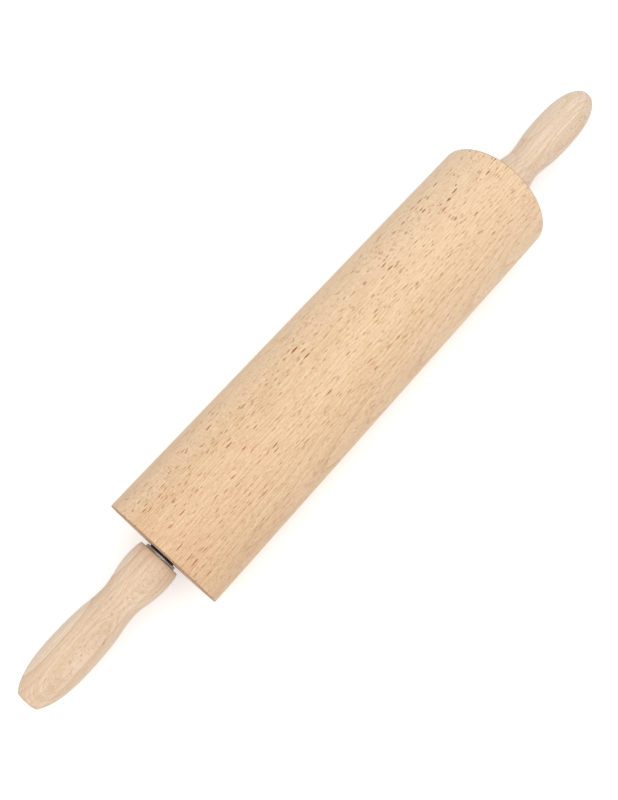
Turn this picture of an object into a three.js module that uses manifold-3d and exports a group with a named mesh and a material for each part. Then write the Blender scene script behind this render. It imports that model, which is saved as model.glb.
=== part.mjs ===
// Rolling pin: a beech roller that spins on a steel axle between two turned beech handles.
// Millimetres, +Z up. The origin is the middle of the axle, +X runs along it to the right handle, and the
// pin lies on the roller's bottom flat.

import * as THREE from 'three';
import { mergeVertices } from 'three/addons/utils/BufferGeometryUtils.js';
import Module from 'manifold-3d';

// Roller
const rollerLength = 250;
const rollerDiameter = 65;
const rollerEdgeRounding = 0.8;
const rollerBoreGap = 1;

// Axle, glued into both handles
const axleDiameter = 8;
const axleGrip = 45;
const axleChamfer = 0.8;
const glueGrooveCount = 3;
const glueGroovePitch = 10;
const glueGrooveWidth = 1.6;
const glueGrooveDepth = 0.4;

// Handles, measured from the face beside the roller
const handleLength = 82;
const handleFaceDiameter = 21.2;
const handleCollarDiameter = 23.9;
const handleCollarOffset = 8.2;
const handleWaistDiameter = 19;
const handleWaistOffset = 25.6;
const handleBellyDiameter = 23.3;
const handleBellyOffset = 55.4;
const handleEndDiameter = 11.6;
const handleBoreAir = 1;

// How far the outline holds level beside the collar, the waist and the belly, as shares of a stretch, and
// the steep last part of the handle, as shares of the tip's length and of its fall
const collarEase = 0.42;
const waistInnerEase = 0.25;
const waistOuterEase = 0.35;
const bellyEase = 0.7;
const tipEase = 0.5;
const tipEndRun = 0.2;
const tipEndFall = 0.69;

// Washers and spacers between roller and handles
const washerDiameter = 17;
const washerHole = 8.4;
const washerThickness = 1.4;
const washerChamfer = 0.3;
const spacerDiameter = 14;
const spacerProud = 0.8;
const spacerHubDiameter = 11.4;
const spacerHubLength = 0.6;

// Ball bearings, 8 x 22 x 7 over all
const ballCount = 7;
const ballDiameter = 3.969;
const raceWall = 1.5155;
const raceClearance = 0.03;
const grooveDepth = 0.55;
const grooveEasing = 0.08;
const ringChamfer = 0.3;
const cageThickness = 2;
const cageWeb = 0.45;
const cageLip = 0.8;
const cageEndGap = 0.15;
const pocketClearance = 0.1155;
const sealThickness = 0.5;
const sealInset = 0.3;
const sealSeatStep = 0.5;
const sealRunningGap = 0.15;
const bearingRecess = 0.5;

// Radial clearances
const pressFit = 0.02;
const slipFit = 0.05;

// Facets of the round surfaces. A multiple of 4 puts a flat at the roller's bottom.
const rollerSides = 32;
const turnedSides = 24;
const ballSides = 12;
const pocketSides = 16;
const roundingSteps = 2;
const outlineSteps = 4;
const grooveSteps = 3;

// Worked-out sizes
const axleRadius = axleDiameter / 2;
const ballRadius = ballDiameter / 2;
const pitchRadius = axleRadius + raceWall + ballRadius;
const outerRingRadius = pitchRadius + ballRadius + raceWall;
const innerGrooveBottom = pitchRadius - ballRadius - raceClearance;
const outerGrooveBottom = acrossFlats(pitchRadius + ballRadius + raceClearance, turnedSides);
const innerShoulder = innerGrooveBottom + grooveDepth;
const outerLand = outerGrooveBottom - grooveDepth;
const sealSeat = outerLand + sealSeatStep;
const sealDepth = sealInset + sealThickness;
const grooveRadius = ballRadius + grooveEasing;
const grooveHalfAngle = Math.acos((grooveRadius - grooveDepth) / grooveRadius);
const pocketRadius = ballRadius + pocketClearance;
const cageBack = pocketRadius + cageWeb;
const bearingWidth = 2 * (cageBack + cageEndGap + sealDepth);
const rollerEnd = rollerLength / 2;
const bearingFace = rollerEnd - bearingRecess;
const bearingMiddle = bearingFace - bearingWidth / 2;
const bearingSeat = bearingFace - bearingWidth;
const washerFace = rollerEnd + spacerProud;
const handleFace = washerFace + washerThickness;
const axleEnd = handleFace + axleGrip;

// The corner radius of a round hole or roller whose flats lie at this radius.
function acrossFlats(radius, sides) {
  return radius / Math.cos(Math.PI / sides);
}

// A body turned about the X axis from an outline of x and radius. The outside runs towards +X, and an
// outline clear of the axis comes back along its bore.
function turned(outline, sides, steps = 1) {
  const points = outline.getPoints(steps).map((point) => new THREE.Vector2(point.y, point.x));
  const geometry = new THREE.LatheGeometry(points, sides, Math.PI / sides);
  return geometry.rotateZ(-Math.PI / 2);
}

// A closed outline through straight corners given as x and radius.
function cornered(corners) {
  const points = corners.map(([x, radius]) => new THREE.Vector2(x, radius));
  const outline = new THREE.Path(points);
  outline.closePath();
  return outline;
}

const wasm = await Module();
wasm.setup();

function toSolid(geometry) {
  const bare = geometry.clone();
  bare.deleteAttribute('normal');
  bare.deleteAttribute('uv');
  const merged = mergeVertices(bare);
  const mesh = new wasm.Mesh({
    numProp: 3,
    vertProperties: merged.attributes.position.array,
    triVerts: Uint32Array.from(merged.index.array),
  });
  return new wasm.Manifold(mesh);
}

function toGeometry(solid) {
  const mesh = solid.getMesh();
  const geometry = new THREE.BufferGeometry();
  geometry.setAttribute('position', new THREE.BufferAttribute(mesh.vertProperties, 3));
  geometry.setIndex(new THREE.BufferAttribute(mesh.triVerts, 1));
  geometry.computeVertexNormals();
  return geometry;
}

// Finishes, as seen in the photo
const finishes = {
  rollerBeech: { color: 0xe3c194, roughness: 0.7, metalness: 0 },
  handleBeech: { color: 0xe8cba4, roughness: 0.68, metalness: 0 },
  axleSteel: { color: 0xa9adb0, roughness: 0.35, metalness: 1 },
  bearingSteel: { color: 0xc3c6c8, roughness: 0.2, metalness: 1 },
  ballSteel: { color: 0xd8dadb, roughness: 0.08, metalness: 1 },
  washerZinc: { color: 0xb4b7b5, roughness: 0.4, metalness: 1 },
  blackNylon: { color: 0x1b1a19, roughness: 0.5, metalness: 0 },
  cageNylon: { color: 0xd9d3c1, roughness: 0.5, metalness: 0 },
  sealRubber: { color: 0x232323, roughness: 0.7, metalness: 0 },
};

function piece(name, geometry, finish, x = 0) {
  const mesh = new THREE.Mesh(geometry, new THREE.MeshStandardMaterial(finish));
  mesh.name = name;
  mesh.position.x = x;
  return mesh;
}

// The roller is bored right through, with a seat for a bearing in each end.
function roller() {
  const outside = acrossFlats(rollerDiameter / 2, rollerSides);
  const shoulder = outside - rollerEdgeRounding;
  const roundingStart = rollerEnd - rollerEdgeRounding;
  const seat = acrossFlats(outerRingRadius + pressFit, rollerSides);
  const bore = acrossFlats(innerShoulder + rollerBoreGap, rollerSides);
  const outline = new THREE.Path();
  outline.moveTo(bearingSeat, bore);
  outline.lineTo(-bearingSeat, bore);
  outline.lineTo(-bearingSeat, seat);
  outline.lineTo(-rollerEnd, seat);
  outline.lineTo(-rollerEnd, shoulder);
  outline.absarc(-roundingStart, shoulder, rollerEdgeRounding, Math.PI, Math.PI / 2, true);
  outline.absarc(roundingStart, shoulder, rollerEdgeRounding, Math.PI / 2, 0, true);
  outline.lineTo(rollerEnd, seat);
  outline.lineTo(bearingSeat, seat);
  outline.closePath();
  return piece('roller', turned(outline, rollerSides, roundingSteps), finishes.rollerBeech);
}

// The axle has chamfered ends, and rings of glue grooves where the handles hold it.
function axle() {
  const grooveFloor = axleRadius - glueGrooveDepth;
  const firstGroove = axleEnd - axleGrip / 2 - glueGroovePitch * (glueGrooveCount - 1) / 2;
  const grooves = [];
  for (let i = 0; i < glueGrooveCount; i += 1) {
    const middle = firstGroove + i * glueGroovePitch;
    grooves.push(middle, -middle);
  }
  grooves.sort((a, b) => a - b);
  const outline = new THREE.Path();
  outline.moveTo(-axleEnd, 0);
  outline.lineTo(-axleEnd, axleRadius - axleChamfer);
  outline.lineTo(-axleEnd + axleChamfer, axleRadius);
  for (const middle of grooves) {
    outline.lineTo(middle - glueGrooveWidth / 2, axleRadius);
    outline.lineTo(middle - glueGrooveWidth / 4, grooveFloor);
    outline.lineTo(middle + glueGrooveWidth / 4, grooveFloor);
    outline.lineTo(middle + glueGrooveWidth / 2, axleRadius);
  }
  outline.lineTo(axleEnd - axleChamfer, axleRadius);
  outline.lineTo(axleEnd, axleRadius - axleChamfer);
  outline.lineTo(axleEnd, 0);
  return piece('axle', turned(outline, turnedSides), finishes.axleSteel);
}

// A smooth stretch of outline from the current point, level at both ends.
function levelStretch(outline, to, startEase, endEase) {
  const from = outline.currentPoint.clone();
  const run = to.x - from.x;
  outline.bezierCurveTo(from.x + run * startEase, from.y, to.x - run * endEase, to.y, to.x, to.y);
}

// The handle swells from its face to a collar, draws in to a waist, swells to a belly and runs out in a full
// round that is cut off flat. The axle's end is glued in its blind bore.
function handle(side) {
  const bore = acrossFlats(axleRadius + pressFit, turnedSides);
  const boreEnd = axleGrip + handleBoreAir;
  const faceRadius = handleFaceDiameter / 2;
  const collarRadius = handleCollarDiameter / 2;
  const bellyRadius = handleBellyDiameter / 2;
  const endRadius = handleEndDiameter / 2;
  const tip = handleLength - handleBellyOffset;
  const tipFall = (bellyRadius - endRadius) * tipEndFall;
  const tipEnd = new THREE.Vector2(handleLength - tip * tipEndRun, endRadius + tipFall);
  const waist = new THREE.Vector2(handleWaistOffset, handleWaistDiameter / 2);
  const belly = new THREE.Vector2(handleBellyOffset, bellyRadius);
  const outline = new THREE.Path();
  outline.moveTo(boreEnd, 0);
  outline.lineTo(boreEnd, bore);
  outline.lineTo(0, bore);
  outline.lineTo(0, faceRadius);
  outline.quadraticCurveTo(0, collarRadius, handleCollarOffset, collarRadius);
  levelStretch(outline, waist, collarEase, waistInnerEase);
  levelStretch(outline, belly, waistOuterEase, bellyEase);
  outline.bezierCurveTo(belly.x + tip * tipEase, belly.y, tipEnd.x, tipEnd.y, handleLength, endRadius);
  outline.lineTo(handleLength, 0);
  const geometry = turned(outline, turnedSides, outlineSteps);
  return piece(`${side}_handle`, geometry, finishes.handleBeech, handleFace);
}

// A flat steel washer, chamfered on the rim that faces the roller.
function washer(side) {
  const rim = washerDiameter / 2;
  const hole = acrossFlats(washerHole / 2, turnedSides);
  const outline = cornered([
    [0, hole],
    [0, rim - washerChamfer],
    [washerChamfer, rim],
    [washerThickness, rim],
    [washerThickness, hole],
  ]);
  return piece(`${side}_washer`, turned(outline, turnedSides), finishes.washerZinc, washerFace);
}

// A flanged nylon spacer: its hub bears on the inner ring, and its flange stands out of the roller.
function spacer(side) {
  const bore = acrossFlats(axleRadius + slipFit, turnedSides);
  const length = washerFace - bearingFace;
  const outline = cornered([
    [0, bore],
    [0, spacerHubDiameter / 2],
    [spacerHubLength, spacerHubDiameter / 2],
    [spacerHubLength, spacerDiameter / 2],
    [length, spacerDiameter / 2],
    [length, bore],
  ]);
  return piece(`${side}_spacer`, turned(outline, turnedSides), finishes.blackNylon, bearingFace);
}

function innerRing(side) {
  const half = bearingWidth / 2;
  const bore = acrossFlats(axleRadius + pressFit, turnedSides);
  const bottom = 1.5 * Math.PI;
  const outline = new THREE.Path();
  outline.moveTo(-half, bore + ringChamfer);
  outline.lineTo(-half, innerShoulder);
  outline.absarc(
    0, innerGrooveBottom + grooveRadius, grooveRadius,
    bottom - grooveHalfAngle, bottom + grooveHalfAngle, false,
  );
  outline.lineTo(half, innerShoulder);
  outline.lineTo(half, bore + ringChamfer);
  outline.lineTo(half - ringChamfer, bore);
  outline.lineTo(-half + ringChamfer, bore);
  outline.closePath();
  const geometry = turned(outline, turnedSides, grooveSteps);
  return piece(`${side}_bearing_inner_ring`, geometry, finishes.bearingSteel, bearingMiddle);
}

// The outer ring has a step inside each face, where a seal is pressed in.
function outerRing(side) {
  const half = bearingWidth / 2;
  const top = Math.PI / 2;
  const outline = new THREE.Path();
  outline.moveTo(-half, outerRingRadius - ringChamfer);
  outline.lineTo(-half + ringChamfer, outerRingRadius);
  outline.lineTo(half - ringChamfer, outerRingRadius);
  outline.lineTo(half, outerRingRadius - ringChamfer);
  outline.lineTo(half, sealSeat);
  outline.lineTo(half - sealDepth, sealSeat);
  outline.lineTo(half - sealDepth, outerLand);
  outline.absarc(
    0, outerGrooveBottom - grooveRadius, grooveRadius,
    top - grooveHalfAngle, top + grooveHalfAngle, false,
  );
  outline.lineTo(-half + sealDepth, outerLand);
  outline.lineTo(-half + sealDepth, sealSeat);
  outline.lineTo(-half, sealSeat);
  outline.closePath();
  const geometry = turned(outline, turnedSides, grooveSteps);
  return piece(`${side}_bearing_outer_ring`, geometry, finishes.bearingSteel, bearingMiddle);
}

// A seal is a rubber disc with its inner edge just clear of the inner ring. Place is outer or inner: the
// one near the handle, or the one inside the roller.
function seal(side, place) {
  const rim = sealSeat - pressFit;
  const hole = acrossFlats(innerShoulder + sealRunningGap, turnedSides);
  const outline = cornered([
    [0, hole],
    [0, rim],
    [sealThickness, rim],
    [sealThickness, hole],
  ]);
  const x = place === 'outer' ? bearingFace - sealDepth : bearingSeat + sealInset;
  return piece(`${side}_bearing_${place}_seal`, turned(outline, turnedSides), finishes.sealRubber, x);
}

// Where ball number i sits round the axle.
function ballPlace(i) {
  const angle = 2 * Math.PI * i / ballCount;
  return new THREE.Vector3(0, pitchRadius * Math.sin(angle), pitchRadius * Math.cos(angle));
}

// A nylon crown: a ring with a pocket for each ball, open on the side towards the handle.
function cage(side) {
  const outline = cornered([
    [-cageBack, acrossFlats(pitchRadius - cageThickness / 2, turnedSides)],
    [-cageBack, pitchRadius + cageThickness / 2],
    [cageLip, pitchRadius + cageThickness / 2],
    [cageLip, acrossFlats(pitchRadius - cageThickness / 2, turnedSides)],
  ]);
  let crown = toSolid(turned(outline, turnedSides));
  const pocketCorner = acrossFlats(pocketRadius, pocketSides);
  for (let i = 0; i < ballCount; i += 1) {
    const place = ballPlace(i);
    const pocket = new THREE.SphereGeometry(pocketCorner, pocketSides, pocketSides / 2);
    crown = crown.subtract(toSolid(pocket.translate(place.x, place.y, place.z)));
  }
  return piece(`${side}_bearing_cage`, toGeometry(crown), finishes.cageNylon, bearingMiddle);
}

function ball(side, i) {
  const geometry = new THREE.SphereGeometry(ballRadius, ballSides, ballSides / 2);
  const mesh = piece(`${side}_ball_${i + 1}`, geometry, finishes.ballSteel);
  mesh.position.copy(ballPlace(i));
  mesh.position.x = bearingMiddle;
  return mesh;
}

// Everything at one end of the pin, from the bearing out to the handle.
function pinEnd(side) {
  const group = new THREE.Group();
  group.add(handle(side), washer(side), spacer(side));
  group.add(outerRing(side), innerRing(side), cage(side));
  group.add(seal(side, 'outer'), seal(side, 'inner'));
  for (let i = 0; i < ballCount; i += 1) {
    group.add(ball(side, i));
  }
  return group;
}

const rightEnd = pinEnd('right');
const leftEnd = pinEnd('left');
leftEnd.rotation.z = Math.PI;

const rollingPin = new THREE.Group();
rollingPin.add(roller(), axle(), rightEnd, leftEnd);

export default rollingPin;
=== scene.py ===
"""A rolling pin in raw beech: a roller on two sealed bearings, a steel axle and two turned handles."""
from math import acos, cos, pi, radians, sin

import bmesh
import bpy
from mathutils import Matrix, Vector


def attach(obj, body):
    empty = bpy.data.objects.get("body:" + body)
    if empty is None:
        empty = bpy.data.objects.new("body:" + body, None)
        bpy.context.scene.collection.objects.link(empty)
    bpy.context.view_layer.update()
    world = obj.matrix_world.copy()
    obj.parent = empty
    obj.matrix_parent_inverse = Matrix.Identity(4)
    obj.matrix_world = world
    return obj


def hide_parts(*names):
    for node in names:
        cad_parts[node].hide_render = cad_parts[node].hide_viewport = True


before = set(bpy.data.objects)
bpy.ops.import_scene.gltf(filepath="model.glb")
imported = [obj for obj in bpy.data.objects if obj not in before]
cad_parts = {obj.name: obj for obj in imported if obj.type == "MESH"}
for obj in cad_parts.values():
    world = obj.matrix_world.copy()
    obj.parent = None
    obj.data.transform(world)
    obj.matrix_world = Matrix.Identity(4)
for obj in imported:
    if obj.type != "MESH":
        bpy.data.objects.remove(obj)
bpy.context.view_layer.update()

# Sizes in millimetres, the same as in the part's source.
MM = 0.001
ROLLER_END = 125.0
ROLLER_RADIUS = 32.5
ROLLER_EDGE = 0.8
ROLLER_BORE = 7.0
SEAT_RADIUS = 11.02
SEAT_EDGE = 0.3

AXLE_RADIUS = 4.0
AXLE_GRIP = 45.0
BORE_SPARE = 1.0
AXLE_CHAMFER = 0.8
GLUE_GROOVES = 3
GLUE_PITCH = 10.0
GLUE_WIDTH = 1.6
GLUE_DEPTH = 0.4

HANDLE_LENGTH = 82.0
HANDLE_FACE = 10.6
HANDLE_COLLAR = 11.95
HANDLE_COLLAR_AT = 8.2
HANDLE_WAIST = 9.5
HANDLE_WAIST_AT = 25.6
HANDLE_BELLY = 11.65
HANDLE_BELLY_AT = 55.4
HANDLE_END = 5.8
HANDLE_END_EDGE = 0.35
HANDLE_END_CLEAR = 1.5 * HANDLE_END_EDGE
COLLAR_EASE = 0.42
WAIST_INNER_EASE = 0.25
WAIST_OUTER_EASE = 0.35
BELLY_EASE = 0.7
TIP_EASE = 0.5
TIP_END_RUN = 0.2
TIP_END_FALL = 0.69

WASHER_RADIUS = 8.5
WASHER_HOLE = 4.2
WASHER_THICK = 1.4
WASHER_CHAMFER = 0.3
SPACER_RADIUS = 7.0
SPACER_PROUD = 0.8
SPACER_HUB_RADIUS = 5.7
SPACER_HUB = 0.6
SPACER_EDGE = 0.2

BALLS = 7
BALL_RADIUS = 1.9845
RACE_WALL = 1.5155
RACE_GAP = 0.03
GROOVE_DEPTH = 0.55
GROOVE_EASING = 0.08
RING_CHAMFER = 0.3
SEAL_THICK = 0.5
SEAL_INSET = 0.3
SEAL_STEP = 0.5
SEAL_GAP = 0.15
SEAL_BEAD = 0.12
LIP_BEAD = (0.15, 0.45, 0.6)
RIM_BEAD = (0.5, 0.35, 0.1)
BEARING_WIDTH = 7.0
BEARING_RECESS = 0.5
PRESS_FIT = 0.02
SLIP_FIT = 0.05

PITCH_RADIUS = AXLE_RADIUS + RACE_WALL + BALL_RADIUS
RING_RADIUS = PITCH_RADIUS + BALL_RADIUS + RACE_WALL
INNER_GROOVE = PITCH_RADIUS - BALL_RADIUS - RACE_GAP
OUTER_GROOVE = PITCH_RADIUS + BALL_RADIUS + RACE_GAP
INNER_SHOULDER = INNER_GROOVE + GROOVE_DEPTH
OUTER_LAND = OUTER_GROOVE - GROOVE_DEPTH
SEAL_SEAT = OUTER_LAND + SEAL_STEP
GROOVE_RADIUS = BALL_RADIUS + GROOVE_EASING
GROOVE_HALF_ANGLE = acos((GROOVE_RADIUS - GROOVE_DEPTH) / GROOVE_RADIUS)
BEARING_FACE = ROLLER_END - BEARING_RECESS
BEARING_MIDDLE = BEARING_FACE - BEARING_WIDTH / 2
BEARING_SEAT = BEARING_FACE - BEARING_WIDTH
WASHER_FACE = ROLLER_END + SPACER_PROUD
HANDLE_FACE_AT = WASHER_FACE + WASHER_THICK
AXLE_END = HANDLE_FACE_AT + AXLE_GRIP

# Sides of a turned piece, and steps along a curved stretch of its outline.
WOOD_SIDES = 192
METAL_SIDES = 96
CURVE_STEPS = 24
ROUNDING_STEPS = 8
BALL_SUBDIVISIONS = 4
SHARP_ANGLE = radians(28)
WELD = 1e-7


def linear(hex_colour):
    """A colour written as sRGB hex, as the linear colour that the shaders use."""
    channels = [int(hex_colour[i:i + 2], 16) / 255 for i in (1, 3, 5)]
    return tuple(c / 12.92 if c <= 0.04045 else ((c + 0.055) / 1.055) ** 2.4 for c in channels) + (1.0,)


def add(tree, kind, inputs=None, **settings):
    """Adds a node with its settings. An input is given a value, or the output that feeds it."""
    made = tree.nodes.new(kind)
    for name, value in settings.items():
        setattr(made, name, value)
    for socket, value in (inputs or {}).items():
        if isinstance(value, bpy.types.NodeSocket):
            tree.links.new(value, made.inputs[socket])
        else:
            made.inputs[socket].default_value = value
    return made


# Geometry Nodes trees: a body turned from an outline, and a bearing ball in its place.

def turned_tree():
    """Turns the given outline points, x and radius, about the X axis."""
    tree = bpy.data.node_groups.new("turned_piece", "GeometryNodeTree")
    for name, kind in (("Outline", "Geometry"), ("Sides", "Int"), ("Finish", "Material")):
        tree.interface.new_socket(name, in_out="INPUT", socket_type="NodeSocket" + kind)
    tree.interface.new_socket("Piece", in_out="OUTPUT", socket_type="NodeSocketGeometry")
    given = add(tree, "NodeGroupInput")
    outline, sides = given.outputs["Outline"], given.outputs["Sides"]
    points = add(tree, "GeometryNodeAttributeDomainSize", {"Geometry": outline}, component="MESH")
    columns = add(tree, "ShaderNodeMath", {0: sides, 1: 1.0}, operation="ADD").outputs[0]
    sheet = add(tree, "GeometryNodeMeshGrid",
                {"Vertices X": points.outputs["Point Count"], "Vertices Y": columns})
    index = add(tree, "GeometryNodeInputIndex").outputs[0]
    share = add(tree, "ShaderNodeMath", {0: index, 1: columns}, operation="DIVIDE").outputs[0]
    row = add(tree, "ShaderNodeMath", {0: share}, operation="FLOOR").outputs[0]
    column = add(tree, "ShaderNodeMath", {0: index, 1: columns}, operation="MODULO").outputs[0]
    turn = add(tree, "ShaderNodeMath", {0: column, 1: sides}, operation="DIVIDE").outputs[0]
    angle = add(tree, "ShaderNodeMath", {0: turn, 1: 2 * pi}, operation="MULTIPLY").outputs[0]
    place = add(tree, "GeometryNodeInputPosition").outputs[0]
    point = add(tree, "GeometryNodeSampleIndex", {"Geometry": outline, "Value": place, "Index": row},
                data_type="FLOAT_VECTOR", domain="POINT")
    part = add(tree, "ShaderNodeSeparateXYZ", {0: point.outputs[0]})
    across = add(tree, "ShaderNodeMath", {0: angle}, operation="SINE").outputs[0]
    up = add(tree, "ShaderNodeMath", {0: angle}, operation="COSINE").outputs[0]
    y = add(tree, "ShaderNodeMath", {0: part.outputs["Y"], 1: across}, operation="MULTIPLY").outputs[0]
    z = add(tree, "ShaderNodeMath", {0: part.outputs["Y"], 1: up}, operation="MULTIPLY").outputs[0]
    spot = add(tree, "ShaderNodeCombineXYZ", {"X": part.outputs["X"], "Y": y, "Z": z})
    bent = add(tree, "GeometryNodeSetPosition",
               {"Geometry": sheet.outputs["Mesh"], "Position": spot.outputs[0]})
    welded = add(tree, "GeometryNodeMergeByDistance", {"Geometry": bent.outputs[0], "Distance": WELD})
    real = add(tree, "GeometryNodeRealizeInstances", {"Geometry": welded.outputs[0]})
    done = add(tree, "GeometryNodeSetMaterial",
               {"Geometry": real.outputs[0], "Material": given.outputs["Finish"]})
    add(tree, "NodeGroupOutput", {"Piece": done.outputs[0]})
    return tree


def ball_tree():
    """One ball of a ring of balls round the X axis, at an angle. The modifier hands its mesh to the first
    input, which a ball makes no use of."""
    tree = bpy.data.node_groups.new("bearing_ball", "GeometryNodeTree")
    tree.interface.new_socket("Start", in_out="INPUT", socket_type="NodeSocketGeometry")
    for name, kind in (("Radius", "Float"), ("Pitch radius", "Float"), ("Angle", "Float"),
                       ("Station", "Float"), ("Finish", "Material")):
        tree.interface.new_socket(name, in_out="INPUT", socket_type="NodeSocket" + kind)
    tree.interface.new_socket("Piece", in_out="OUTPUT", socket_type="NodeSocketGeometry")
    given = add(tree, "NodeGroupInput")
    angle, pitch = given.outputs["Angle"], given.outputs["Pitch radius"]
    sphere = add(tree, "GeometryNodeMeshIcoSphere",
                 {"Radius": given.outputs["Radius"], "Subdivisions": BALL_SUBDIVISIONS})
    across = add(tree, "ShaderNodeMath", {0: angle}, operation="SINE").outputs[0]
    up = add(tree, "ShaderNodeMath", {0: angle}, operation="COSINE").outputs[0]
    y = add(tree, "ShaderNodeMath", {0: pitch, 1: across}, operation="MULTIPLY").outputs[0]
    z = add(tree, "ShaderNodeMath", {0: pitch, 1: up}, operation="MULTIPLY").outputs[0]
    spot = add(tree, "ShaderNodeCombineXYZ", {"X": given.outputs["Station"], "Y": y, "Z": z})
    placed = add(tree, "GeometryNodeSetPosition",
                 {"Geometry": sphere.outputs["Mesh"], "Offset": spot.outputs[0]})
    real = add(tree, "GeometryNodeRealizeInstances", {"Geometry": placed.outputs[0]})
    done = add(tree, "GeometryNodeSetMaterial",
               {"Geometry": real.outputs[0], "Material": given.outputs["Finish"]})
    add(tree, "NodeGroupOutput", {"Piece": done.outputs[0]})
    return tree


def grown(name, tree, points, inputs):
    """Runs a tree on some points and keeps its result as a plain mesh with smooth, outward faces."""
    start = bpy.data.meshes.new(name + "_points")
    start.from_pydata(points, [], [])
    piece = bpy.data.objects.new(name, start)
    bpy.context.scene.collection.objects.link(piece)
    nodes = piece.modifiers.new(tree.name, "NODES")
    nodes.node_group = tree
    for item in tree.interface.items_tree:
        if item.in_out == "INPUT" and item.name in inputs:
            nodes[item.identifier] = inputs[item.name]
    finished = piece.evaluated_get(bpy.context.evaluated_depsgraph_get())
    mesh = bpy.data.meshes.new_from_object(finished)
    piece.modifiers.clear()
    piece.data = mesh
    mesh.name = name
    bpy.data.meshes.remove(start)
    shell = bmesh.new()
    shell.from_mesh(mesh)
    bmesh.ops.recalc_face_normals(shell, faces=shell.faces)
    shell.to_mesh(mesh)
    shell.free()
    mesh.shade_smooth()
    mesh.set_sharp_from_angle(angle=SHARP_ANGLE)
    return piece


def turned(name, outline, sides, finish, side=1):
    """A turned piece from an outline in millimetres. Side -1 puts it at the left end."""
    points = [(side * x * MM, radius * MM, 0.0) for x, radius in outline]
    return grown(name, TURNED, points, {"Sides": sides, "Finish": finish})


# Outlines as x and radius, from the middle of the pin towards the right end.

def arc(middle, radius, start, stop, steps):
    """Points round an arc, from one angle to another."""
    angles = [start + (stop - start) * i / steps for i in range(steps + 1)]
    return [(middle[0] + radius * cos(a), middle[1] + radius * sin(a)) for a in angles]


def bezier(corners, steps):
    """Points along a quadratic or cubic curve, without its first point."""
    points = []
    for i in range(1, steps + 1):
        share, row = i / steps, corners
        while len(row) > 1:
            row = [tuple(p + (q - p) * share for p, q in zip(a, b)) for a, b in zip(row, row[1:])]
        points.append(row[0])
    return points


def level_stretch(start, stop, start_ease, stop_ease):
    """A smooth stretch between two points, level at both ends."""
    run = stop[0] - start[0]
    corners = [start, (start[0] + run * start_ease, start[1]),
               (stop[0] - run * stop_ease, stop[1]), stop]
    return bezier(corners, CURVE_STEPS)


def closed(points):
    """An outline that ends where it starts."""
    return points + points[:1]


def roller_outline():
    """The roller's skin with its eased rims, and the bore with a bearing seat in each end."""
    rim_middle = (ROLLER_END - ROLLER_EDGE, ROLLER_RADIUS - ROLLER_EDGE)
    rim = arc(rim_middle, ROLLER_EDGE, pi / 2, 0, ROUNDING_STEPS)
    mouth = [(ROLLER_END, SEAT_RADIUS + SEAT_EDGE), (ROLLER_END - SEAT_EDGE, SEAT_RADIUS)]
    right = rim + mouth + [(BEARING_SEAT, SEAT_RADIUS), (BEARING_SEAT, ROLLER_BORE)]
    left = [(-x, radius) for x, radius in reversed(right)]
    return closed(right + left)


def axle_outline():
    """The rod, with chamfered ends and the glue grooves that the handles grip."""
    floor = AXLE_RADIUS - GLUE_DEPTH
    first = AXLE_END - AXLE_GRIP / 2 - GLUE_PITCH * (GLUE_GROOVES - 1) / 2
    right = []
    for i in range(GLUE_GROOVES):
        middle = first + i * GLUE_PITCH
        right += [(middle - GLUE_WIDTH / 2, AXLE_RADIUS), (middle - GLUE_WIDTH / 4, floor),
                  (middle + GLUE_WIDTH / 4, floor), (middle + GLUE_WIDTH / 2, AXLE_RADIUS)]
    right += [(AXLE_END - AXLE_CHAMFER, AXLE_RADIUS), (AXLE_END, AXLE_RADIUS - AXLE_CHAMFER),
              (AXLE_END, 0.0)]
    return [(-x, radius) for x, radius in reversed(right)] + right


def handle_outline():
    """Collar, waist and belly, a full round tip that is cut off flat, and the blind bore."""
    bore, bore_end = AXLE_RADIUS + PRESS_FIT, AXLE_GRIP + BORE_SPARE
    collar = (HANDLE_COLLAR_AT, HANDLE_COLLAR)
    waist = (HANDLE_WAIST_AT, HANDLE_WAIST)
    belly = (HANDLE_BELLY_AT, HANDLE_BELLY)
    points = [(bore_end, 0.0), (bore_end, bore), (0.0, bore), (0.0, HANDLE_FACE)]
    points += bezier([(0.0, HANDLE_FACE), (0.0, HANDLE_COLLAR), collar], CURVE_STEPS)
    points += level_stretch(collar, waist, COLLAR_EASE, WAIST_INNER_EASE)
    points += level_stretch(waist, belly, WAIST_OUTER_EASE, BELLY_EASE)
    run, fall = HANDLE_LENGTH - HANDLE_BELLY_AT, HANDLE_BELLY - HANDLE_END
    steep = (HANDLE_LENGTH - run * TIP_END_RUN, HANDLE_END + fall * TIP_END_FALL)
    tip = bezier([belly, (HANDLE_BELLY_AT + run * TIP_EASE, HANDLE_BELLY), steep,
                  (HANDLE_LENGTH, HANDLE_END)], CURVE_STEPS)
    corner = tip.pop()
    points += [p for p in tip if (Vector(p) - Vector(corner)).length > HANDLE_END_CLEAR]
    back = (Vector(points[-1]) - Vector(corner)).normalized() * HANDLE_END_EDGE
    eased = (corner[0] + back.x, corner[1] + back.y)
    points.append(eased)
    points += bezier([eased, corner, (corner[0], corner[1] - HANDLE_END_EDGE)], ROUNDING_STEPS)
    points.append((HANDLE_LENGTH, 0.0))
    return [(HANDLE_FACE_AT + x, radius) for x, radius in points]


def washer_outline():
    """A flat disc, chamfered on the rim that faces the roller."""
    near, far = WASHER_FACE, WASHER_FACE + WASHER_THICK
    return closed([(near, WASHER_HOLE), (near, WASHER_RADIUS - WASHER_CHAMFER),
                   (near + WASHER_CHAMFER, WASHER_RADIUS), (far, WASHER_RADIUS), (far, WASHER_HOLE)])


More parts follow.
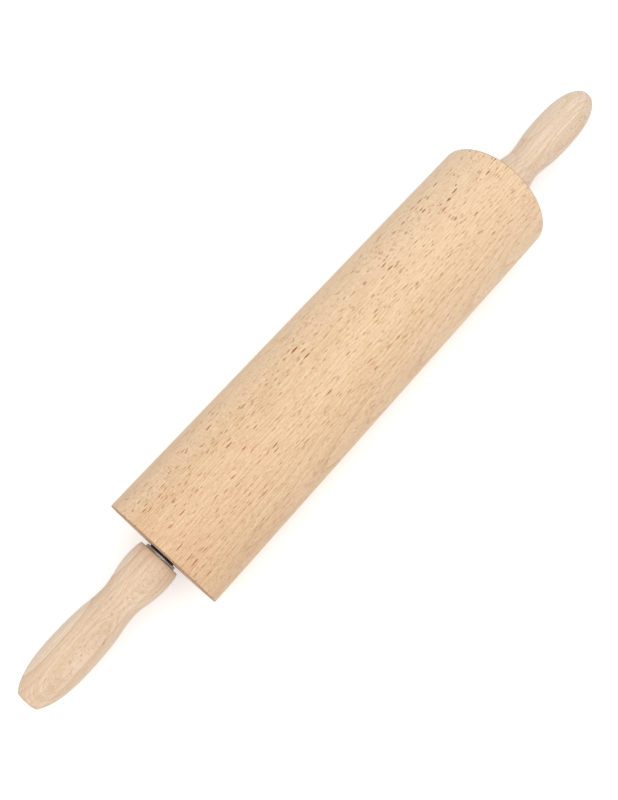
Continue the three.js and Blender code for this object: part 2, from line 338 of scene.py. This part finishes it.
def spacer_outline():
    """A hub on the bearing's inner ring and a flange that stands out of the roller."""
    bore, step = AXLE_RADIUS + SLIP_FIT, BEARING_FACE + SPACER_HUB
    return closed([(BEARING_FACE, bore), (BEARING_FACE, SPACER_HUB_RADIUS), (step, SPACER_HUB_RADIUS),
                   (step, SPACER_RADIUS - SPACER_EDGE), (step + SPACER_EDGE, SPACER_RADIUS),
                   (WASHER_FACE - SPACER_EDGE, SPACER_RADIUS),
                   (WASHER_FACE, SPACER_RADIUS - SPACER_EDGE), (WASHER_FACE, bore)])


def inner_ring_outline():
    """The ring on the axle, with the groove that the balls run in."""
    near, far, bore = BEARING_SEAT, BEARING_FACE, AXLE_RADIUS + PRESS_FIT
    groove = arc((BEARING_MIDDLE, INNER_GROOVE + GROOVE_RADIUS), GROOVE_RADIUS,
                 1.5 * pi - GROOVE_HALF_ANGLE, 1.5 * pi + GROOVE_HALF_ANGLE, ROUNDING_STEPS)
    return closed([(near, bore + RING_CHAMFER), (near, INNER_SHOULDER)] + groove
                  + [(far, INNER_SHOULDER), (far, bore + RING_CHAMFER), (far - RING_CHAMFER, bore),
                     (near + RING_CHAMFER, bore)])


def outer_ring_outline():
    """The ring in the roller, with its groove and a step inside each face, where a seal is pressed in."""
    near, far, step = BEARING_SEAT, BEARING_FACE, SEAL_INSET + SEAL_THICK
    groove = arc((BEARING_MIDDLE, OUTER_GROOVE - GROOVE_RADIUS), GROOVE_RADIUS,
                 pi / 2 - GROOVE_HALF_ANGLE, pi / 2 + GROOVE_HALF_ANGLE, ROUNDING_STEPS)
    return closed([(near, RING_RADIUS - RING_CHAMFER), (near + RING_CHAMFER, RING_RADIUS),
                   (far - RING_CHAMFER, RING_RADIUS), (far, RING_RADIUS - RING_CHAMFER),
                   (far, SEAL_SEAT), (far - step, SEAL_SEAT), (far - step, OUTER_LAND)] + groove
                  + [(near + step, OUTER_LAND), (near + step, SEAL_SEAT), (near, SEAL_SEAT)])


def seal_outline(place):
    """A thin disc with a raised bead at its lip and at its rim, on the side that faces out."""
    hole, rim = INNER_SHOULDER + SEAL_GAP, SEAL_SEAT - PRESS_FIT
    out = 1 if place == "outer" else -1
    flat = BEARING_FACE - SEAL_INSET if place == "outer" else BEARING_SEAT + SEAL_INSET
    low, high = flat - out * SEAL_BEAD, flat
    lip = [(low, hole), (high, hole + LIP_BEAD[0]), (high, hole + LIP_BEAD[1]), (low, hole + LIP_BEAD[2])]
    edge = [(low, rim - RIM_BEAD[0]), (high, rim - RIM_BEAD[1]), (high, rim - RIM_BEAD[2]), (low, rim)]
    back = flat - out * SEAL_THICK
    return closed(lip + edge + [(back, rim), (back, hole)])


# Materials

# Sizes in wood are in millimetres: along the grain, outwards from the heart of the tree, and across.
# Rays: how far apart they lie, and half their own size. The broad ones are about as thick as real ones.
# The fine ones are drawn about three times as thick as real ones, so that they show at this size.
BROAD_RAY = ((6.0, 1.4, 1.5), (1.9, 0.45, 0.13))
FINE_RAY = ((3.6, 0.6, 0.5), (1.35, 0.2, 0.07))
# Waves of the grain, slow and quick, and how far the slow ones push it aside.
SLOW_WAVES = (60.0, 22.0, 22.0)
SLOW_PUSH = (0.0, 2.6, 1.6)
QUICK_WAVES = (4.0, 1.8, 1.8)
QUICK_PUSH = (0.5, 0.6)
QUICK_PUSH_ACROSS = 0.15
# Spells of fast and slow growth, cloudy patches, pores, and the silky weft of a cut along the rays. Real
# pores and fibres are under 0.1 mm wide. They are drawn two or more times as coarse, so that they show.
GROWTH_SPELLS = (300.0, 8.0, 90.0)
CLOUDS = (90.0, 16.0, 16.0)
PORES = (1.2, 0.4, 0.25)
WEFT = (0.6, 2.6, 1.5)
# How much clouds and pores add to the tone, and how dark a ring is at each share of its year.
CLOUD_WEIGHT = 0.4
PORE_WEIGHT = 1.1
RING_TONES = ((0.5, 0.12), (0.86, 0.45), (0.955, 1.0))
# Rings and rays grow stronger away from the heart: from and to, counted from the middle of the piece.
RING_REACH = (-5.0, 25.0)
RAY_REACH = (-20.0, -5.0)
RAY_SHARE = (0.1, 1.5)
FINE_RAY_GAIN = 1.1
# How nearly a cut lies along the rays, 1 for quarter sawn: where curls, strong rays, weft and flecks begin
# and where they are full.
CURLS_AT = (0.8, 0.98)
STRONG_RAYS_AT = (0.93, 0.99)
STRONG_RAYS_GAIN = (1.15, 2.6)
WEFT_AT = (0.96, 0.995)
WEFT_DEPTH = 0.2
# FLECKS_AT also sets where a paler band of painted sheen begins and where it is full.
FLECKS_AT = (0.965, 0.995)
END_GRAIN_DEPTH = 0.85
SANDED_FUZZ = 0.15


def per(sizes):
    """The scale that draws a pattern at these sizes."""
    return tuple(1 / size for size in sizes)


def ray_flecks(tree, grain, size, cell, half, least):
    """How much of a ray shows at a point. A ray is a thin brown blade: short along the grain, long from
    the heart of the tree outwards and very thin across. A cut across it shows a short dash, and a cut
    nearly along it a wide fleck."""
    cell = tuple(size * c for c in cell)
    half = tuple(size * h for h in half)
    spread = add(tree, "ShaderNodeVectorMath", {0: grain, 1: cell}, operation="DIVIDE").outputs[0]
    rays = add(tree, "ShaderNodeTexVoronoi", {"Vector": spread, "Scale": 1.0, "Randomness": 1.0},
               voronoi_dimensions="3D", feature="F1")
    off = add(tree, "ShaderNodeVectorMath", {0: spread, 1: rays.outputs["Position"]},
              operation="SUBTRACT").outputs[0]
    shape = tuple(c / h for c, h in zip(cell, half))
    local = add(tree, "ShaderNodeVectorMath", {0: off, 1: shape}, operation="MULTIPLY").outputs[0]
    far = add(tree, "ShaderNodeVectorMath", {0: local}, operation="LENGTH").outputs["Value"]
    luck = add(tree, "ShaderNodeSeparateColor", {0: rays.outputs["Color"]})
    stretch = add(tree, "ShaderNodeMapRange", {"Value": luck.outputs[0], "To Min": 0.8, "To Max": 1.7})
    edge = add(tree, "ShaderNodeMath", {0: far, 1: stretch.outputs[0]}, operation="MULTIPLY").outputs[0]
    body = add(tree, "ShaderNodeMapRange", {
        "Value": edge, "From Min": 0.84, "From Max": 1.0, "To Min": 1.0, "To Max": 0.0},
        interpolation_type="SMOOTHSTEP").outputs[0]
    depth = add(tree, "ShaderNodeMapRange", {
        "Value": luck.outputs[1], "From Min": 0.35, "To Min": least}).outputs[0]
    return add(tree, "ShaderNodeMath", {0: body, 1: depth}, operation="MULTIPLY").outputs[0]


def raw_beech(name, heart_deg, heart_mm, lean_deg, swing, cut_mm, ring_mm, ring_phase, ring_depth,
              inner_depth, year_depth, fibre_mm, fibre_depth, curl_mm, painted_sheen, drift, ray_size, ray_depth,
              pale, tan, late, ray, fleck, end, end_from, end_to):
    """Raw beech, turned on a lathe and fine sanded, with no oil or varnish. It is matt and light tan,
    with soft darker year rings, short brown ray dashes along the grain, wide ray flecks where the cut
    runs along the rays, and darker end grain. The pattern is solid, so it runs through the piece.
    heart_deg and heart_mm say where the heart of the tree lies, lean_deg and swing how the grain slopes,
    and cut_mm where in the plank the piece was cut. A depth says how much a pattern shows."""
    material = bpy.data.materials.new(name)
    material.use_nodes = True
    tree = material.node_tree
    tree.nodes.clear()
    spot = add(tree, "ShaderNodeTexCoord")
    turn_back = (radians(-heart_deg), 0.0, radians(-lean_deg))
    plank = add(tree, "ShaderNodeMapping", {
        "Vector": spot.outputs["Object"], "Location": cut_mm, "Rotation": turn_back,
        "Scale": (1 / MM, 1 / MM, 1 / MM)}).outputs[0]
    facing = add(tree, "ShaderNodeMapping", {"Vector": spot.outputs["Normal"], "Rotation": turn_back},
                 vector_type="VECTOR").outputs[0]

    # The grain with its waves, as a place along it, out from the heart and round the heart.
    slow = add(tree, "ShaderNodeVectorMath", {0: plank, 1: per(SLOW_WAVES)}, operation="MULTIPLY")
    sway = add(tree, "ShaderNodeTexNoise", {
        "Vector": slow.outputs[0], "Scale": 1.0, "Detail": 2.0, "Roughness": 0.45})
    wander = add(tree, "ShaderNodeVectorMath", {0: sway.outputs["Color"], 1: (0.5, 0.5, 0.5)},
                 operation="SUBTRACT").outputs[0]
    quick = add(tree, "ShaderNodeVectorMath", {0: plank, 1: per(QUICK_WAVES)}, operation="MULTIPLY")
    ruffle = add(tree, "ShaderNodeTexNoise", {
        "Vector": quick.outputs[0], "Scale": 1.0, "Detail": 3.0, "Roughness": 0.6})
    ripple = add(tree, "ShaderNodeVectorMath", {0: ruffle.outputs["Color"], 1: (0.5, 0.5, 0.5)},
                 operation="SUBTRACT").outputs[0]
    bent = add(tree, "ShaderNodeVectorMath", {0: wander, 1: SLOW_PUSH, 2: plank},
               operation="MULTIPLY_ADD").outputs[0]
    place = add(tree, "ShaderNodeSeparateXYZ", {0: bent})
    along = place.outputs["X"]
    out = add(tree, "ShaderNodeMath", {0: place.outputs["Y"], 1: heart_mm}, operation="ADD").outputs[0]
    from_cut = add(tree, "ShaderNodeMath", {0: along, 1: -cut_mm[0]}, operation="ADD").outputs[0]
    shift = add(tree, "ShaderNodeMath", {0: from_cut, 1: swing}, operation="MULTIPLY").outputs[0]
    aside = add(tree, "ShaderNodeMath", {0: place.outputs["Z"], 1: shift}, operation="ADD").outputs[0]
    flat = add(tree, "ShaderNodeCombineXYZ", {"X": out, "Y": aside}).outputs[0]
    radius = add(tree, "ShaderNodeVectorMath", {0: flat}, operation="LENGTH").outputs["Value"]
    turn = add(tree, "ShaderNodeMath", {0: aside, 1: out}, operation="ARCTAN2").outputs[0]
    swept = add(tree, "ShaderNodeMath", {0: turn, 1: heart_mm}, operation="MULTIPLY").outputs[0]
    swept = add(tree, "ShaderNodeMath", {0: swept, 1: shift}, operation="SUBTRACT").outputs[0]

    # How nearly the surface lies along the rays, and how nearly it is cut across the grain.
    back = add(tree, "ShaderNodeMath", {0: aside, 1: -1.0}, operation="MULTIPLY").outputs[0]
    ring_way = add(tree, "ShaderNodeCombineXYZ", {"Y": back, "Z": out}).outputs[0]
    ring_way = add(tree, "ShaderNodeVectorMath", {0: ring_way}, operation="NORMALIZE").outputs[0]
    quarter = add(tree, "ShaderNodeVectorMath", {0: facing, 1: ring_way}, operation="DOT_PRODUCT")
    quarter = add(tree, "ShaderNodeMath", {0: quarter.outputs["Value"]}, operation="ABSOLUTE").outputs[0]
    across = add(tree, "ShaderNodeVectorMath", {0: facing, 1: (1.0, 0.0, 0.0)}, operation="DOT_PRODUCT")
    across = add(tree, "ShaderNodeMath", {0: across.outputs["Value"]}, operation="ABSOLUTE").outputs[0]
    curl = add(tree, "ShaderNodeMapRange", {
        "Value": quarter, "From Min": CURLS_AT[0], "From Max": CURLS_AT[1],
        "To Min": QUICK_PUSH_ACROSS, "To Max": curl_mm}).outputs[0]
    curl = add(tree, "ShaderNodeCombineXYZ", {
        "X": QUICK_PUSH[0], "Y": QUICK_PUSH[1], "Z": curl}).outputs[0]
    grain = add(tree, "ShaderNodeCombineXYZ", {"X": along, "Y": radius, "Z": swept}).outputs[0]
    grain = add(tree, "ShaderNodeVectorMath", {0: ripple, 1: curl, 2: grain},
                operation="MULTIPLY_ADD").outputs[0]

    # Year rings.
    uneven = add(tree, "ShaderNodeVectorMath", {0: grain, 1: per(GROWTH_SPELLS)}, operation="MULTIPLY")
    pace = add(tree, "ShaderNodeTexNoise", {"Vector": uneven.outputs[0], "Scale": 1.0, "Detail": 1.0})
    years = add(tree, "ShaderNodeMath", {0: radius, 1: 1 / ring_mm, 2: pace.outputs[0]},
                operation="MULTIPLY_ADD").outputs[0]
    years = add(tree, "ShaderNodeMath", {0: years, 1: ring_phase}, operation="ADD").outputs[0]
    season = add(tree, "ShaderNodeMath", {0: years}, operation="FRACT").outputs[0]
    year = add(tree, "ShaderNodeMath", {0: years}, operation="FLOOR").outputs[0]
    luck = add(tree, "ShaderNodeTexWhiteNoise", {"W": year}, noise_dimensions="1D").outputs["Value"]
    ring = add(tree, "ShaderNodeValToRGB", {0: season})
    ring.color_ramp.elements[0].color = (0.0, 0.0, 0.0, 1.0)
    ring.color_ramp.elements[1].color = (0.0, 0.0, 0.0, 1.0)
    for share, depth in RING_TONES:
        ring.color_ramp.elements.new(share).color = (depth, depth, depth, 1.0)
    ring = ring.outputs["Color"]
    shows = add(tree, "ShaderNodeMapRange", {
        "Value": radius, "From Min": heart_mm + RING_REACH[0], "From Max": heart_mm + RING_REACH[1],
        "To Min": inner_depth, "To Max": ring_depth}).outputs[0]
    lines = add(tree, "ShaderNodeMath", {0: ring, 1: shows}, operation="MULTIPLY").outputs[0]

    # The ground tone: fibres, clouds, pores and a tone for each year.
    streak = add(tree, "ShaderNodeVectorMath", {0: grain, 1: per(fibre_mm)}, operation="MULTIPLY")
    fibre = add(tree, "ShaderNodeTexNoise", {
        "Vector": streak.outputs[0], "Scale": 1.0, "Detail": 2.0, "Roughness": 0.6}).outputs[0]
    patch = add(tree, "ShaderNodeVectorMath", {0: grain, 1: per(CLOUDS)}, operation="MULTIPLY")
    cloud = add(tree, "ShaderNodeTexNoise", {
        "Vector": patch.outputs[0], "Scale": 1.0, "Detail": 2.0}).outputs[0]
    speck = add(tree, "ShaderNodeVectorMath", {0: grain, 1: per(PORES)}, operation="MULTIPLY")
    pore = add(tree, "ShaderNodeTexNoise", {
        "Vector": speck.outputs[0], "Scale": 1.0, "Detail": 1.0}).outputs[0]
    mixed = -CLOUD_WEIGHT / 2
    for pattern, weight in ((cloud, CLOUD_WEIGHT), (fibre, fibre_depth), (along, drift),
                            (pore, PORE_WEIGHT), (luck, year_depth)):
        mixed = add(tree, "ShaderNodeMath", {0: pattern, 1: weight, 2: mixed},
                    operation="MULTIPLY_ADD").outputs[0]
    middle = (PORE_WEIGHT + fibre_depth + year_depth) / 2 - 0.5 + cut_mm[0] * drift
    tone = add(tree, "ShaderNodeMath", {0: mixed, 1: middle}, operation="SUBTRACT",
               use_clamp=True).outputs[0]

    # Rays: flecks, silk and a band of painted sheen where the cut lies along them, dashes elsewhere.
    side_on = add(tree, "ShaderNodeMapRange", {
        "Value": quarter, "From Min": FLECKS_AT[0], "From Max": FLECKS_AT[1]}).outputs[0]
    # Painted sheen: a paler tone where the cut lies along the rays, in place of their silky lustre.
    painted_sheen_band = add(tree, "ShaderNodeMath", {0: side_on, 1: painted_sheen}, operation="MULTIPLY").outputs[0]
    along_ray = add(tree, "ShaderNodeMapRange", {
        "Value": quarter, "From Min": WEFT_AT[0], "From Max": WEFT_AT[1],
        "To Min": 0.0, "To Max": WEFT_DEPTH}).outputs[0]
    weft = add(tree, "ShaderNodeVectorMath", {0: grain, 1: per(WEFT)}, operation="MULTIPLY")
    silk = add(tree, "ShaderNodeTexNoise", {
        "Vector": weft.outputs[0], "Scale": 1.0, "Detail": 1.0}).outputs[0]
    silk = add(tree, "ShaderNodeMapRange", {"Value": silk, "From Min": 0.45, "From Max": 0.7}).outputs[0]
    silk = add(tree, "ShaderNodeMath", {0: silk, 1: along_ray}, operation="MULTIPLY").outputs[0]
    blade = add(tree, "ShaderNodeMix", {0: side_on, 6: linear(ray), 7: linear(fleck)},
                data_type="RGBA").outputs[2]
    strong = add(tree, "ShaderNodeMapRange", {
        "Value": radius, "From Min": heart_mm + RAY_REACH[0], "From Max": heart_mm + RAY_REACH[1],
        "To Min": RAY_SHARE[0] * ray_depth, "To Max": RAY_SHARE[1] * ray_depth}).outputs[0]
    boost = add(tree, "ShaderNodeMapRange", {
        "Value": quarter, "From Min": STRONG_RAYS_AT[0], "From Max": STRONG_RAYS_AT[1],
        "To Min": STRONG_RAYS_GAIN[0], "To Max": STRONG_RAYS_GAIN[1]}).outputs[0]
    strong = add(tree, "ShaderNodeMath", {0: strong, 1: boost}, operation="MULTIPLY").outputs[0]
    fine = ray_flecks(tree, grain, ray_size, *FINE_RAY, 0.0)
    fine = add(tree, "ShaderNodeMath", {0: fine, 1: strong}, operation="MULTIPLY").outputs[0]
    fine = add(tree, "ShaderNodeMath", {0: fine, 1: FINE_RAY_GAIN}, operation="MULTIPLY").outputs[0]
    broad = ray_flecks(tree, grain, ray_size, *BROAD_RAY, 0.2)
    broad = add(tree, "ShaderNodeMath", {0: broad, 1: strong}, operation="MULTIPLY").outputs[0]

    # End grain, where the piece is cut across.
    sawn = add(tree, "ShaderNodeMath", {0: ring, 1: 0.6, 2: pore}, operation="MULTIPLY_ADD").outputs[0]
    sawn = add(tree, "ShaderNodeMapRange", {"Value": sawn, "From Min": 0.35, "From Max": 1.1}).outputs[0]
    sawn = add(tree, "ShaderNodeMix", {0: sawn, 6: linear(end[0]), 7: linear(end[1])},
               data_type="RGBA").outputs[2]
    across = add(tree, "ShaderNodeMapRange", {
        "Value": across, "From Min": end_from, "From Max": end_to,
        "To Min": 0.0, "To Max": END_GRAIN_DEPTH}).outputs[0]

    # Marks laid in turn over the pale ground; the one towards pale is painted sheen.
    wood = linear(pale)
    for amount, colour in ((tone, linear(tan)), (lines, linear(late)), (painted_sheen_band, linear(pale)),
                           (silk, linear(fleck)), (fine, blade), (broad, blade), (across, sawn)):
        wood = add(tree, "ShaderNodeMix", {0: amount, 6: wood, 7: colour}, data_type="RGBA").outputs[2]

    height = add(tree, "ShaderNodeMath", {0: fibre, 1: pore}, operation="ADD").outputs[0]
    bump = add(tree, "ShaderNodeBump", {"Strength": 0.15, "Distance": 0.1 * MM, "Height": height})
    matt = add(tree, "ShaderNodeMapRange", {"Value": pore, "To Min": 0.55, "To Max": 0.75}).outputs[0]
    surface = add(tree, "ShaderNodeBsdfPrincipled", {
        "Base Color": wood, "Roughness": matt, "IOR": 1.5, "Normal": bump.outputs[0],
        "Sheen Weight": SANDED_FUZZ, "Sheen Roughness": 0.5})
    add(tree, "ShaderNodeOutputMaterial", {"Surface": surface.outputs[0]})
    return material


def plain_finish(name, light, dark, rough, metallic, stretch_mm, ior=1.5, dent=0.02):
    """A manufactured surface with the fine uneven tone of its making. Stretch is the size of that
    unevenness along the axle, round it and away from it, in millimetres."""
    material = bpy.data.materials.new(name)
    material.use_nodes = True
    tree = material.node_tree
    tree.nodes.clear()
    spot = add(tree, "ShaderNodeTexCoord")
    scale = tuple(1 / (MM * size) for size in stretch_mm)
    place = add(tree, "ShaderNodeMapping", {"Vector": spot.outputs["Object"], "Scale": scale})
    mottle = add(tree, "ShaderNodeTexNoise", {
        "Vector": place.outputs[0], "Scale": 1.0, "Detail": 4.0, "Roughness": 0.6}).outputs[0]
    tone = add(tree, "ShaderNodeMapRange", {"Value": mottle, "From Min": 0.3, "From Max": 0.7})
    colour = add(tree, "ShaderNodeMix", {0: tone.outputs[0], 6: linear(dark), 7: linear(light)},
                 data_type="RGBA")
    gloss = add(tree, "ShaderNodeMapRange", {
        "Value": mottle, "To Min": rough * 1.25, "To Max": rough * 0.75})
    bump = add(tree, "ShaderNodeBump", {"Strength": 0.3, "Distance": dent * MM, "Height": mottle})
    surface = add(tree, "ShaderNodeBsdfPrincipled", {
        "Base Color": colour.outputs[2], "Roughness": gloss.outputs[0], "Metallic": metallic, "IOR": ior,
        "Normal": bump.outputs[0]})
    add(tree, "ShaderNodeOutputMaterial", {"Surface": surface.outputs[0]})
    return material


# Beech for the roller: quarter sawn near one edge, where flecks and painted sheen make a slanting band.
ROLLER_BEECH = raw_beech(
    "beech_sanded_roller", heart_deg=163.2, heart_mm=140.0, lean_deg=-2.0, swing=0.09,
    cut_mm=(0.0, 0.0, 0.0), ring_mm=1.3, ring_phase=0.0, ring_depth=0.35, inner_depth=0.06,
    year_depth=0.08, fibre_mm=(9.0, 1.2, 0.16), fibre_depth=1.7, curl_mm=0.5, painted_sheen=0.4,
    drift=-0.0016, ray_size=1.0, ray_depth=1.0,
    pale="#FCDFBA", tan="#DBB186", late="#BE8A5A", ray="#A04E06", fleck="#AC642A",
    end=("#BA8C62", "#784C2C"), end_from=0.05, end_to=0.5)
# Beech for the handles: paler and smoother, with wider rings and faint ray dashes.
HANDLE_WOOD = {
    "heart_mm": 70.0, "lean_deg": 1.0, "swing": 0.0, "ring_mm": 2.8,
    "fibre_mm": (60.0, 10.0, 0.55), "fibre_depth": 1.8, "curl_mm": 0.2, "painted_sheen": 0.0, "drift": 0.0,
    "ray_size": 0.65, "ray_depth": 0.3,
    "pale": "#F7E2CA", "tan": "#DFBF9D", "ray": "#8E5C34", "fleck": "#B07C54",
    "end": ("#D2AE90", "#B08662"), "end_from": 0.5, "end_to": 0.98,
}
HANDLE_BEECH = {
    "left": raw_beech(
        "beech_turned_left_handle", heart_deg=27.0, cut_mm=(400.0, 0.0, 0.0), ring_phase=482.0,
        ring_depth=0.45, inner_depth=0.35, year_depth=0.5, late="#C89C78", **HANDLE_WOOD),
    "right": raw_beech(
        "beech_turned_right_handle", heart_deg=50.0, cut_mm=(900.0, 0.0, 0.0), ring_phase=0.0,
        ring_depth=0.35, inner_depth=0.3, year_depth=0.4, late="#CCA27E", **HANDLE_WOOD),
}
# Cold drawn steel rod: grey, with faint drawing lines along its length.
AXLE_STEEL = plain_finish(
    "cold_drawn_steel_axle", "#B8BCBF", "#96999C", 0.35, 1.0, (9.0, 0.4, 0.4))
# Ground bearing steel: bright, with grinding lines that run round the ring.
RING_STEEL = plain_finish(
    "ground_bearing_steel", "#CDD0D2", "#B4B7B9", 0.2, 1.0, (0.15, 3.0, 3.0))
# Lapped steel balls: a near mirror.
BALL_STEEL = plain_finish(
    "lapped_steel_balls", "#DDDFE0", "#D0D2D3", 0.08, 1.0, (1.5, 1.5, 1.5), dent=0.001)
# Zinc plated pressed steel: dull pale grey with a slight cloudiness.
WASHER_ZINC = plain_finish(
    "zinc_plated_pressed_steel", "#B2A9A0", "#968D84", 0.45, 1.0, (1.2, 1.2, 1.2))
# Moulded black nylon: dark, satin, with a very fine moulded texture.
SPACER_NYLON = plain_finish(
    "moulded_black_nylon", "#232120", "#161514", 0.5, 0.0, (0.6, 0.6, 0.6), ior=1.53)
# Moulded natural nylon: off-white and slightly waxy.
CAGE_NYLON = plain_finish(
    "moulded_natural_nylon", "#DFD9C8", "#CFC8B4", 0.45, 0.0, (0.8, 0.8, 0.8), ior=1.53)
# Moulded nitrile rubber: matt black.
SEAL_RUBBER = plain_finish(
    "moulded_nitrile_rubber", "#2A2A2A", "#1C1C1C", 0.7, 0.0, (0.5, 0.5, 0.5), ior=1.52)


# Pieces

TURNED = turned_tree()
BALL = ball_tree()


def fit(piece, body, node):
    """Sets a piece on its body in place of its CAD node."""
    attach(piece, body)
    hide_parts(node)


fit(turned("roller_wood", roller_outline(), WOOD_SIDES, ROLLER_BEECH),
    "roller", "roller")
fit(turned("axle_rod", axle_outline(), METAL_SIDES, AXLE_STEEL),
    "axle", "axle")

for end, side in (("left", -1), ("right", 1)):
    fit(turned(end + "_handle_wood", handle_outline(), WOOD_SIDES, HANDLE_BEECH[end], side),
        "axle", end + "_handle")
    fit(turned(end + "_washer_disc", washer_outline(), METAL_SIDES, WASHER_ZINC, side),
        "axle", end + "_washer")
    fit(turned(end + "_spacer_neck", spacer_outline(), METAL_SIDES, SPACER_NYLON, side),
        "axle", end + "_spacer")
    fit(turned(end + "_inner_ring", inner_ring_outline(), METAL_SIDES, RING_STEEL, side),
        "axle", end + "_bearing_inner_ring")
    fit(turned(end + "_outer_ring", outer_ring_outline(), METAL_SIDES, RING_STEEL, side),
        "roller", end + "_bearing_outer_ring")
    for place in ("outer", "inner"):
        fit(turned(f"{end}_{place}_seal", seal_outline(place), METAL_SIDES, SEAL_RUBBER, side),
            "roller", f"{end}_bearing_{place}_seal")
    for i in range(BALLS):
        sizes = {"Radius": BALL_RADIUS * MM, "Pitch radius": PITCH_RADIUS * MM,
                 "Angle": side * 2 * pi * i / BALLS, "Station": side * BEARING_MIDDLE * MM,
                 "Finish": BALL_STEEL}
        fit(grown(f"{end}_steel_ball_{i + 1}", BALL, [(0.0, 0.0, 0.0)], sizes),
            f"{end}_ball_{i + 1}", f"{end}_ball_{i + 1}")
    # The cage keeps its CAD shape and only gets its material.
    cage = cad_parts[end + "_bearing_cage"]
    for slot in cage.material_slots:
        slot.material = CAGE_NYLON


# Stage: a pale floor, soft light from above and the photograph's camera.

FLOOR_HALF = 1.0
FLOOR_SHADE = 0.9
FLOOR_GLOW = 0.3
FILL_LIGHT = 0.55
KEY_SIZE = 1.6
KEY_PLACE = (-0.3, -0.3, 1.5)
KEY_POWER = 15.5
CAMERA_PLACE = (-0.13, -0.0935, 0.39969)
CAMERA_AIM = (-0.0242, -0.00136, 0.0)
CAMERA_LENS = 39.057
SENSOR_WIDTH = 36.0


def seen_directly(tree):
    """1 for a ray from the camera, or one that comes by a reflection or through glass."""
    path = add(tree, "ShaderNodeLightPath")
    seen = path.outputs["Is Camera Ray"]
    for other in ("Is Glossy Ray", "Is Transmission Ray"):
        seen = add(tree, "ShaderNodeMath", {0: seen, 1: path.outputs[other]},
                   operation="ADD", use_clamp=True).outputs[0]
    return seen


def floor_finish():
    """Matt white paper. It shows a little brighter to the camera, and keeps the shadow."""
    material = bpy.data.materials.new("matt_white_paper_floor")
    material.use_nodes = True
    tree = material.node_tree
    tree.nodes.clear()
    paper = add(tree, "ShaderNodeBsdfDiffuse", {"Color": (FLOOR_SHADE,) * 3 + (1.0,)})
    seen = seen_directly(tree)
    amount = add(tree, "ShaderNodeMath", {0: seen, 1: FLOOR_GLOW}, operation="MULTIPLY").outputs[0]
    glow = add(tree, "ShaderNodeEmission", {"Strength": amount})
    both = add(tree, "ShaderNodeAddShader", {0: paper.outputs[0], 1: glow.outputs[0]})
    add(tree, "ShaderNodeOutputMaterial", {"Surface": both.outputs[0]})
    return material


def stage():
    """The floor, the world's fill light, one softbox and the camera."""
    corners = [(x * FLOOR_HALF, y * FLOOR_HALF, -ROLLER_RADIUS * MM)
               for x, y in ((-1, -1), (1, -1), (1, 1), (-1, 1))]
    sheet = bpy.data.meshes.new("floor")
    sheet.from_pydata(corners, [], [(0, 1, 2, 3)])
    sheet.materials.append(floor_finish())
    floor = bpy.data.objects.new("floor", sheet)
    bpy.context.scene.collection.objects.link(floor)

    world = bpy.data.worlds.new("white_studio")
    world.use_nodes = True
    tree = world.node_tree
    tree.nodes.clear()
    level = add(tree, "ShaderNodeMapRange", {
        "Value": seen_directly(tree), "To Min": FILL_LIGHT, "To Max": 1.0}).outputs[0]
    sky = add(tree, "ShaderNodeBackground", {"Color": (1.0, 1.0, 1.0, 1.0), "Strength": level})
    add(tree, "ShaderNodeOutputWorld", {"Surface": sky.outputs[0]})
    bpy.context.scene.world = world

    key = bpy.data.lights.new("softbox", "AREA")
    key.shape, key.size, key.energy = "SQUARE", KEY_SIZE, KEY_POWER
    lamp = bpy.data.objects.new("softbox", key)
    lamp.location = KEY_PLACE
    lamp.rotation_euler = (-Vector(KEY_PLACE)).to_track_quat("-Z", "Y").to_euler()
    bpy.context.scene.collection.objects.link(lamp)

    lens = bpy.data.cameras.new("camera")
    lens.lens, lens.sensor_width = CAMERA_LENS, SENSOR_WIDTH
    camera = bpy.data.objects.new("camera", lens)
    camera.location = CAMERA_PLACE
    view = Vector(CAMERA_AIM) - Vector(CAMERA_PLACE)
    camera.rotation_euler = view.to_track_quat("-Z", "Y").to_euler()
    bpy.context.scene.collection.objects.link(camera)
    bpy.context.scene.camera = camera
    bpy.context.scene.view_settings.view_transform = "Standard"


stage()

bpy.context.view_layer.update()
